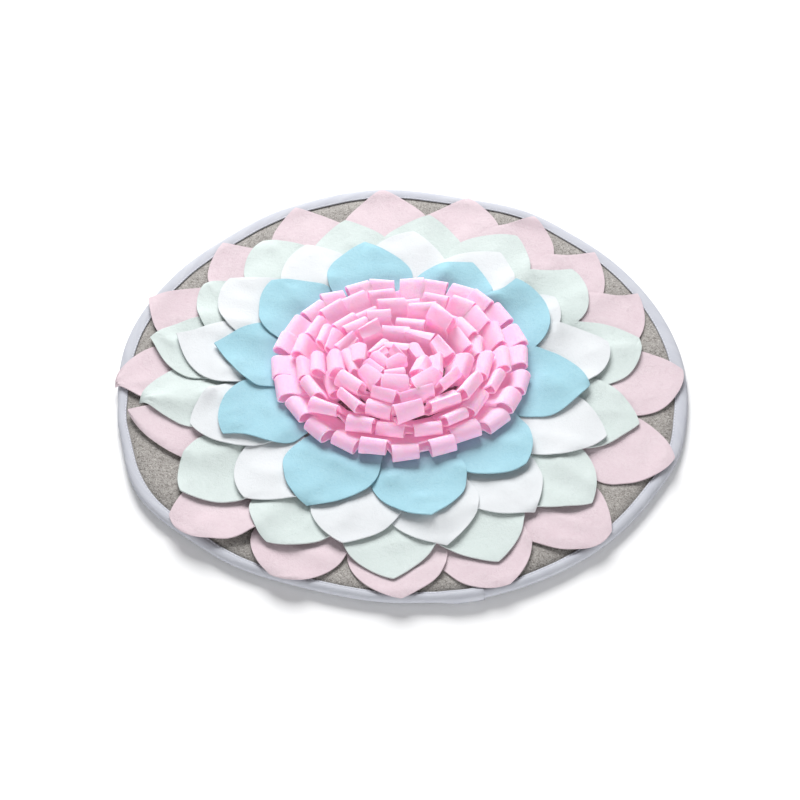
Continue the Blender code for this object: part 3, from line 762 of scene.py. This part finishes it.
def build_binding(material):
    """One length of tape folded over the edge all round, its last end lapped over its first."""
    lap = TAPE_THICKNESS + 0.1 * MM
    span = 360 + TAPE_END - TAPE_START
    rings = []
    for step in range(TAPE_STEPS + 1):
        angle = TAPE_START + span * step / TAPE_STEPS
        along = angle - TAPE_START
        spread = lap * np.clip((along - 360 + TAPE_STEP_UP) / TAPE_STEP_UP, 0, 1)
        pucker = 1.0 + 1.6 * rough(along * 0.28, 0.5, 3.0) + 0.8 * rough(along * 0.9, 7.5, 1.0)
        edge = rim_radius(angle) - TAPE_BULGE
        foot = rim_foot(angle)
        wander = tape_wander(along)
        ring = []
        cover = tape_cover(angle)
        for inward, up in tape_outline(cover, spread, pucker):
            shift = wander if inward > cover / 2 else 0.0
            ring.append(polar(edge - inward - shift, angle, max(foot + up, 0.0)))
        rings.append(ring)
    net = np.array(rings)
    net = np.concatenate([net, net[:, :1]], axis=1)
    sheet = net_mesh(net)
    bmesh.ops.remove_doubles(sheet, verts=sheet.verts, dist=TINY)
    ends = [edge for edge in sheet.edges if edge.is_boundary]
    bmesh.ops.holes_fill(sheet, edges=ends)
    bmesh.ops.recalc_face_normals(sheet, faces=sheet.faces)
    piece = new_piece("edge_binding", sheet, material)
    piece.data.shade_smooth()
    return piece


def build_stitches(material):
    """The row of stitches just inside the binding's inner edge, on both faces."""
    maker = bmesh.new()
    maker.loops.layers.uv.new("UVMap")
    radius = MAT_RADIUS - TAPE_BULGE - tape_cover(0) + STITCH_INSET
    count = round(2 * math.pi * radius / STITCH_PITCH)
    for number in range(count):
        angle = 360 * number / count
        edge = rim_radius(angle) - TAPE_BULGE
        here = edge - tape_cover(angle) + STITCH_INSET
        wander = tape_wander((angle - TAPE_START) % 360)
        over = FELT_THICKNESS + TAPE_THICKNESS + GAP - STITCH_SINK
        under = -TAPE_THICKNESS - GAP + STITCH_UNDER_SINK
        for up in (over, under):
            middle = Vector(polar(here - wander, angle, rim_foot(angle) + up))
            made = bmesh.ops.create_icosphere(maker, subdivisions=1, radius=1.0)["verts"]
            turn = math.radians(angle + 90)
            for vert in made:
                x, y, z = vert.co
                x *= STITCH_PITCH * STITCH_SHARE
                y *= STITCH_HALF_WIDTH
                z *= STITCH_HALF_HEIGHT
                vert.co = middle + Vector((
                    x * math.cos(turn) - y * math.sin(turn), x * math.sin(turn) + y * math.cos(turn), z,
                ))
    piece = new_piece("binding_stitches", maker, material)
    piece.data.shade_smooth()
    return piece


# --- petals ---


def petal_half_width(from_tip, shape=USUAL_SHAPE):
    """Half the width of the cut petal at a distance from its tip."""
    if from_tip < PETAL_BELLY:
        return PETAL_WIDEST * math.sin(math.pi / 2 * (from_tip / PETAL_BELLY) ** shape)
    part = (from_tip - PETAL_BELLY) / (PETAL_LENGTH - PETAL_BELLY)
    return PETAL_WIDEST - (PETAL_WIDEST - PETAL_ROOT_WIDTH) * part ** ROOT_POWER


def petal_plan(petal, ring, seed):
    """The petal's points in plan, row by row from its sewn end, each point's own place, and the
    width folded under in each row."""
    tip = np.array(polar(petal.reach * MM, petal.tip)[:2])
    seam = max(petal.reach * MM - PETAL_LENGTH, ring.seam)
    outward = np.array(polar(1.0, petal.root)[:2])
    root = np.array(FLOWER_CENTRE) + seam * outward
    length = np.linalg.norm(tip - root)
    elbow = root + outward * length * ELBOW
    slow, quick = 2 * (1 - ELBOW), 2 * ELBOW - 1
    points, own, spare = [], [], []
    for row in range(PETAL_ROWS + 1):
        from_tip = (1 - row / PETAL_ROWS) ** ROW_POWER
        share = (math.sqrt(slow ** 2 + 4 * quick * from_tip) - slow) / (2 * quick)
        middle = share ** 2 * root + 2 * share * (1 - share) * elbow + (1 - share) ** 2 * tip
        along = share * (elbow - root) + (1 - share) * (tip - elbow)
        across = np.array((-along[1], along[0])) / np.linalg.norm(along)
        half = max(petal_half_width(from_tip * length, petal.shape) * ring.width, LEAST_HALF)
        edge = min(half, petal.turned * from_tip * length + LEAST_HALF) if petal.turned else half
        spare.append(half - edge)
        for offset in np.linspace(-half, edge, PETAL_COLUMNS + 1):
            side = offset / half
            trim = 1 + CUT_STRAY * rough(from_tip * 5.0, side * 1.5, seed) * abs(side)
            trim += CUT_NICK * rough(from_tip * 24.0, side * 5.0, seed + 40) * abs(side)
            points.append((*(middle + across * offset * trim), 0.0))
            own.append((from_tip * length, offset / PETAL_WIDEST))
    return np.array(points), np.array(own), np.array(spare)


def petal_lift(petal, own):
    """How far each point of the petal stands off what it lies on."""
    outward = np.clip(1 - own[:, 0] / (LIFT_SHARE * PETAL_LENGTH), 0, 1)
    side = own[:, 1]
    lift = petal.point * outward ** 2
    lift += petal.tucked * np.clip(-side, 0, 1) ** EDGE_POWER * outward
    lift += petal.free * np.clip(side, 0, 1) ** EDGE_POWER * outward
    lift += petal.cup * side ** 2 * outward
    return lift * LIFT_SCALE * MM


def petal_wrinkle(own, seed):
    """The soft waves of a cut petal, more towards its tip and edges."""
    outward = np.clip(1 - own[:, 0] / (WAVE_SHARE * PETAL_LENGTH), 0, 1)
    waves = []
    for (from_tip, side), out in zip(own, outward):
        x = from_tip / WAVE_LENGTH
        y = side * PETAL_WIDEST / WAVE_WIDTH
        slow = WAVE_LEVEL + rough(x, y, seed * 3.7)
        quick = rough(x * QUICKER, y * QUICKER, seed * 5.3 + 20)
        waves.append((WAVE_SLOW * slow + WAVE_QUICK * quick) * out ** WAVE_POWER)
    return np.maximum(np.array(waves), 0) * MM


def grid_triangles(rows, columns):
    triangles = []
    for row in range(rows - 1):
        for column in range(columns - 1):
            a = row * columns + column
            triangles.append((a, a + 1, a + columns + 1))
            triangles.append((a, a + columns + 1, a + columns))
    return triangles


def turn_under(net, spare):
    """Fold a petal along its last column: the rest of each row runs back below what is before it."""
    flap = np.zeros((len(net), FLAP_COLUMNS, 3))
    for row, (line, width) in enumerate(zip(net, spare)):
        back = line[::-1]
        run = run_along(back)
        for column in range(FLAP_COLUMNS):
            stop = min((width + FLAP_LEAST) * (column + 1) / FLAP_COLUMNS, run[-1] * FLAP_SHARE)
            flap[row, column] = [np.interp(stop, run, back[:, axis]) for axis in range(3)]
    flap[:, :, 2] -= TURN_DEPTH
    net[:, -1, 2] -= TURN_DEPTH / 2
    return np.concatenate([net, flap], axis=1)


def petal_creases(ring, number, own):
    """The soft ridges named for one petal, as a height at each of its points."""
    height = np.zeros(len(own))
    for crease in CREASES[ring]:
        if crease.petal != number:
            continue
        start = np.array((crease.from_tip, crease.side)) * MM
        along = np.array((crease.to_from_tip, crease.to_side)) * MM - start
        apart = own * (1, PETAL_WIDEST) - start
        share = np.clip(apart @ along / (along @ along), 0, 1)
        distance = np.linalg.norm(apart - share[:, None] * along, axis=1)
        height += crease.high * MM * np.exp(-(distance / (crease.wide * MM)) ** 2)
    return height


def lay_petal(petal, plan, fit, below, shape, seed, folds, fixed=None):
    """Settle one petal on a height map, with its lifts and waves; fixed points keep their height."""
    points, own, _ = plan
    loose = np.ones(shape, bool)
    loose[0] = False
    turned = TURN_DEPTH if petal.turned else 0.0
    if fixed is not None:
        loose &= ~fixed[0]
        points[:, 2] = np.where(loose.ravel(), points[:, 2], fixed[1])
    height = settle(points, fit, below, loose)
    height += petal_lift(petal, own) + petal_wrinkle(own, seed) + folds + turned
    height = drape(height, loose, EASE_ROUNDS, 0.0)
    height = raise_clear(height, fit, below, loose)
    rows = height.reshape(shape)
    for row in range(PETAL_ROWS - TIP_ROWS, PETAL_ROWS + 1):
        keep = (PETAL_ROWS - row) / (TIP_ROWS + 1)
        onward = 2 * rows[row - 1].mean() - rows[row - 2].mean()
        level = max(rows[row].mean(), (rows[row].mean() + onward) / 2)
        rows[row] = rows[row] * keep + level * (1 - keep)
    if fixed is not None:
        height = np.where(fixed[0].ravel(), fixed[1], height)
    return height


def build_ring(ring, below, material, first_seed):
    """Lay a ring of petals, each over the next one round, and return the map with the ring added."""
    shape = (PETAL_ROWS + 1, PETAL_COLUMNS + 1)
    triangles = grid_triangles(*shape)
    count = len(ring.petals)
    plans = [petal_plan(petal, ring, first_seed + number) for number, petal in enumerate(ring.petals)]
    fits = [sheet_cells(points, triangles) for points, _, _ in plans]
    folds = [petal_creases(ring.name, number + 1, plan[1]) for number, plan in enumerate(plans)]

    def lay(number, floor, fixed=None):
        plan = plans[number]
        seed = first_seed + number
        plan[0][:, 2] = lay_petal(
            ring.petals[number], plan, fits[number], floor, shape, seed, folds[number], fixed,
        )
        return top_map(plan[0], fits[number], FLEECE)

    heap = np.maximum(below, lay(0, below))
    first_height = plans[0][0][:, 2].copy()
    for number in range(count - 1, 0, -1):
        added = lay(number, heap)
        heap = np.maximum(below if number == count - 1 else heap, added)
    tucked = plans[0][1][:, 1].reshape(shape) < TUCKED_SIDE
    lay(0, np.maximum(below, added), (tucked, first_height))
    pieces = []
    for number, (petal, (points, _, spare)) in enumerate(zip(ring.petals, plans), start=1):
        below = np.maximum(below, top_map(points, fits[number - 1], FLEECE))
        net = points.reshape(*shape, 3)
        if petal.turned:
            net = turn_under(net, spare)
        piece = new_piece(f"{ring.name}_petal_{number:02d}", net_mesh(net), material)
        finish_cloth(piece, FLEECE)
        pieces.append(piece)
    return below, pieces


def felt_map():
    """The height map of the bound felt, with nothing on it yet."""
    heights = np.zeros((MAP_SIZE, MAP_SIZE))
    for row in range(MAP_SIZE):
        for column in range(MAP_SIZE):
            x = column * CELL - MAP_HALF
            y = row * CELL - MAP_HALF
            radius = math.hypot(x, y)
            angle = math.degrees(math.atan2(y, x))
            rim = rim_radius(angle)
            rise = np.interp(radius, (FLAT_RADIUS, rim - TAPE_BULGE - RIM_BAND), (0, rim_foot(angle)))
            covered = radius > rim - tape_cover(angle) - TAPE_BULGE - CELL
            tape = TAPE_THICKNESS + GAP + TAPE_CROWN if covered else 0.0
            heights[row, column] = FELT_THICKNESS + rise + tape if radius < rim + CELL else 0.0
    return heights


# --- loops ---


def smooth_path(knots, count):
    """A curve through a few points (Catmull-Rom), as this many points evenly spaced along it."""
    knots = np.array(knots)
    ends = np.concatenate([[2 * knots[0] - knots[1]], knots, [2 * knots[-1] - knots[-2]]])
    dense = []
    for a, b, c, d in zip(ends, ends[1:], ends[2:], ends[3:]):
        for t in np.linspace(0, 1, KNOT_STEPS, endpoint=False):
            dense.append(0.5 * (2 * b + (c - a) * t + (2 * a - 5 * b + 4 * c - d) * t ** 2
                                + (3 * b - a - 3 * c + d) * t ** 3))
    dense.append(knots[-1])
    dense = np.array(dense)
    run = run_along(dense)
    stops = np.linspace(0, run[-1], count)
    return np.stack([np.interp(stops, run, dense[:, axis]) for axis in range(dense.shape[1])], axis=1)


def loop_path(reach, height, deep):
    """A loop from its lower sewn edge, round the fold, to its upper one: outward, up."""
    floor = FELT_THICKNESS + LOOP_FLEECE / 2 + GAP
    half = (deep - LOOP_FLEECE) / 2
    close = LOOP_FLEECE / 2 + 0.4 * MM
    rise = height - floor - close

    def middle(share):
        return floor + close + rise * share ** LOOP_RISE

    sewn = 1.4 * MM
    return smooth_path((
        (sewn, floor), (reach * 0.18, middle(0.18) - close), (reach * 0.45, middle(0.45) - close * 1.3),
        (reach - 1.9 * half, height - half * 0.9), (reach - 0.75 * half, height - half * 0.95),
        (reach, height),
        (reach - 0.75 * half, height + half * 0.95), (reach - 2.2 * half, height + half * 1.15),
        (reach * 0.4, middle(0.4) + close * 2.2), (reach * 0.12, middle(0.12) + close * 1.5),
        (-sewn, floor + 2.2 * close), (-sewn, floor + 0.4 * close),
    ), LOOP_ROWS)


def row_loops(order, draw):
    """The loops of one row, evenly round it, with their small differences."""
    row = LOOP_RINGS[order - 1]
    loops = []
    for number in range(1, row.count + 1):
        even = math.radians(row.first - 360 * (number - 1) / row.count)
        chance = [amount * row.wild * draw.uniform(-1, 1) for amount in STRAY]
        loop = Loop(
            math.degrees(even) + LOOP_CROWD * math.cos(even) + chance[0],
            row.out + LOOP_OVAL * math.cos(2 * even) + chance[1],
            chance[2], row.width + chance[3],
            row.deep - LOOP_DEEPER * math.sin(even) + chance[4], chance[5],
        )
        for odd in ODD_LOOPS:
            if (odd.row, odd.number) == (order, number):
                loop = Loop(
                    loop.angle, loop.out + odd.out, loop.face + odd.face,
                    loop.width + odd.width, loop.deep + odd.deep, loop.lean,
                )
        loops.append(loop)
    return loops


def loop_ends(row, loop):
    """Where a loop is sewn down, where it bends in plan, and where its fold lies."""
    middle = np.array((row.x, row.y)) * MM
    fold = middle + np.array(polar(loop.out * MM, loop.angle)[:2])
    lead = np.array(polar(1.0, loop.angle + loop.face * FACE_SHARE)[:2])
    facing = np.array(polar(1.0, loop.angle + loop.face)[:2])
    reach = row.reach * MM
    return fold - reach * lead, fold - reach * LOOP_BEND * facing, fold


def loop_net(row, loop, root_width, below):
    """One loop's points: rows along the strip, columns across it, clear of the map below."""
    root, elbow, fold = loop_ends(row, loop)
    path = loop_path(row.reach * MM, row.high * MM, loop.deep * MM)
    top_row = int(np.argmax(path[:, 0]))
    outs = path[:, 0] / path[top_row, 0]
    net = np.zeros((LOOP_ROWS, LOOP_COLUMNS + 1, 3))
    sides = np.linspace(1, -1, LOOP_COLUMNS + 1)
    for line, (share, up) in enumerate(zip(outs, path[:, 1])):
        place = (1 - share) ** 2 * root + 2 * share * (1 - share) * elbow + share ** 2 * fold
        along = (1 - share) * (elbow - root) + share * (fold - elbow)
        across = np.array((-along[1], along[0])) / np.linalg.norm(along)
        free = np.clip(share, 0, 1)
        widen = np.clip(free * LOOP_FLARE, 0, 1)
        half = (root_width * (1 - widen) + loop.width * MM * widen) / 2
        lean = math.radians(loop.lean) * free ** 2
        for column, side in enumerate(sides):
            tilt = side * half * math.sin(lean)
            net[line, column] = (*(place + across * side * half * math.cos(lean)), up + tilt)
    cells = np.round((net[:, :, :2] + MAP_HALF) / CELL).astype(int)
    under = below[cells[..., 1], cells[..., 0]]
    short = np.maximum((under + LOOP_FLEECE / 2 + LOOP_CLEARANCE - net[..., 2]).max(axis=1), 0)
    lower = [line for line in range(2, top_row + 3) if outs[line] > LOOP_FREE]
    for line in range(1, LOOP_ROWS - 1):
        share = max(outs[line], 0.0)
        lift = 0.0
        for other in lower:
            near = 1 - abs(outs[other] - share) / PUSH_REACH
            lift = max(lift, short[other] * min(max(near, 0.0) * PUSH_STRENGTH, 1.0))
        lift = min(lift, LOOP_TOP - (row.high + loop.deep / 2) * MM)
        net[line, :, 2] += lift * min(1.0, share * PUSH_GROWTH)
    return net


LOOP_TRIANGLES = grid_triangles(LOOP_ROWS, LOOP_COLUMNS + 1)


def add_loop(net, below):
    points = net.reshape(-1, 3)
    return np.maximum(below, top_map(points, sheet_cells(points, LOOP_TRIANGLES), LOOP_FLEECE))


def build_band(band, below, material):
    """One slit band of loops, sewn round in a ring or winding in to the middle."""
    draw = random.Random(LOOP_SEED)
    orders = [order for order, row in enumerate(LOOP_RINGS, start=1) if row.band == band]
    rows = [(LOOP_RINGS[order - 1], row_loops(order, draw)) for order in orders]
    roots = [loop_ends(row, loop)[0] for row, loops in rows for loop in loops]
    gaps = [float(np.linalg.norm(b - a)) for a, b in zip(roots, roots[1:])]
    nets = []
    for row, loops in rows:
        beside = empty_map()
        for loop in loops:
            number = len(nets)
            near = gaps[max(number - 1, 0):number + 1]
            root_width = min(min(near), loop.width * MM) - LOOP_SLIT
            nets.append(loop_net(row, loop, max(root_width, LEAST_ROOT), below))
            beside = add_loop(nets[-1], beside)
        below = np.maximum(below, beside)
    wide = LOOP_COLUMNS + 1
    net = np.concatenate(nets, axis=1)
    last = LOOP_ROWS - 1 - UNSLIT_LINES
    sheet = net_mesh(net, lambda line, column: column % wide < wide - 1 or not UNSLIT_LINES <= line < last)
    piece = new_piece("fringe_" + band, sheet, material)
    finish_cloth(piece, LOOP_FLEECE)
    cut = [loop.width * MM for _, loops in rows for loop in loops]
    length = sum(max(gap, width) for gap, width in zip(gaps, cut)) + cut[-1]
    return below, piece, net, length


# --- room ---


def build_floor():
    bpy.ops.object.select_all(action="DESELECT")
    bpy.ops.mesh.primitive_plane_add(size=FLOOR_SIZE, location=(0, 0, 0))
    floor = bpy.context.object
    floor.name = "studio_floor"
    material = bpy.data.materials.new("studio_white")
    material.use_nodes = True
    shader = material.node_tree.nodes["Principled BSDF"].inputs
    shader["Base Color"].default_value = FLOOR_COLOUR
    shader["Roughness"].default_value = 1.0
    shader["Specular IOR Level"].default_value = 0.0
    floor.data.materials.append(material)


def build_light():
    world = bpy.data.worlds.new("studio")
    world.use_nodes = True
    world.node_tree.nodes["Background"].inputs["Color"].default_value = SKY_COLOUR
    world.node_tree.nodes["Background"].inputs["Strength"].default_value = SKY_STRENGTH
    bpy.context.scene.world = world
    for box in SOFTBOXES:
        data = bpy.data.lights.new(box.name, "AREA")
        data.shape = "DISK"
        data.size = box.size
        data.energy = box.power
        lamp = bpy.data.objects.new(box.name, data)
        lamp.location = box.place
        lamp.rotation_euler = aimed(box.place, (0, 0, 0))
        bpy.context.scene.collection.objects.link(lamp)


def build_camera():
    data = bpy.data.cameras.new("view_camera")
    data.lens = CAMERA_LENS
    data.sensor_width = CAMERA_SENSOR
    data.clip_start = CAMERA_NEAR
    camera = bpy.data.objects.new("view_camera", data)
    camera.location = CAMERA_PLACE
    camera.rotation_euler = aimed(CAMERA_PLACE, CAMERA_AIM)
    bpy.context.scene.collection.objects.link(camera)
    bpy.context.scene.camera = camera


# --- assembly ---


def stand_for(piece, node):
    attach(piece, "root")
    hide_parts(node)


def main():
    build_camera()
    bpy.context.scene.view_settings.view_transform = "Standard"
    materials = make_materials()
    felt = build_felt(materials["felt"])
    stand_for(felt, "base_mat")
    tape = build_binding(materials["tape"])
    stand_for(tape, "binding")
    stitches = build_stitches(materials["thread"])
    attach(stitches, "root")
    below = felt_map()
    seed = 1
    for ring in RINGS:
        below, pieces = build_ring(ring, below, materials[ring.name], seed)
        seed += SEED_STEP
        for number, piece in enumerate(pieces, start=1):
            stand_for(piece, f"petal_{ring.name}_{number:02d}")
    for band in dict.fromkeys(row.band for row in LOOP_RINGS):
        below, piece, net, length = build_band(band, below, materials["loops"])
        stand_for(piece, band)
    build_floor()
    build_light()


main()
